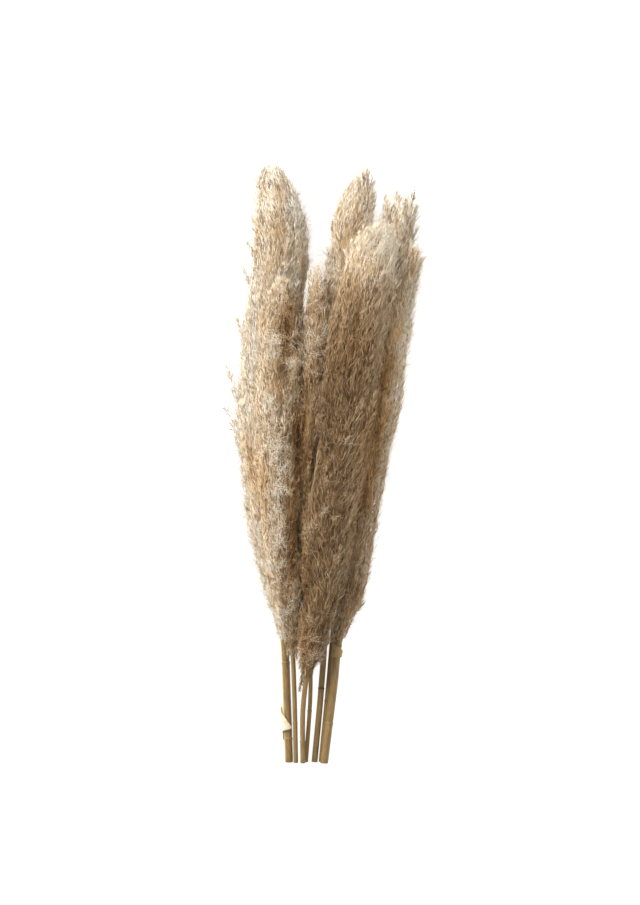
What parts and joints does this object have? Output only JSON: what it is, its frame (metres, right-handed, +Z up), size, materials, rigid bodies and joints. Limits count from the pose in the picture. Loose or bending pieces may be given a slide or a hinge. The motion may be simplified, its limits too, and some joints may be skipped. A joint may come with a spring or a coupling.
{
  "type": "bundle of pampas grass",
  "caption": "Loose bundle of cut and dried pampas grass lying on its side, with long feathery plumes on slim jointed stems.",
  "frame": {"origin": "middle of the lying bundle's footprint, on the surface it lies on", "axes": "+Y from the cut ends of the stems to the tips of the plumes, +Z up from the surface, +X across the bundle"},
  "size_m": [0.2052, 0.62, 0.1071],
  "materials": {
    "plume_pale": "soft, dry, silky hairs, pale cream beige",
    "plume_tan": "soft, dry, silky hairs, warm tan",
    "plume_brown": "soft, dry, silky hairs, olive brown tan",
    "stem": "smooth dry straw, golden tan, lightly streaked",
    "sheath": "thin papery dry leaf, pale straw"
  },
  "bodies": {
    "root": {"plume_1": "plume_pale", "plume_2": "plume_pale", "plume_3": "plume_tan", "plume_4": "plume_tan", "plume_5": "plume_pale", "plume_6": "plume_brown", "plume_7": "plume_brown", "stem_1": "stem", "stem_2": "stem", "stem_3": "stem", "stem_4": "stem", "stem_5": "stem", "stem_6": "stem", "stem_7": "stem", "sheath_1": "sheath", "sheath_7": "sheath"}
  },
  "joints": []
}
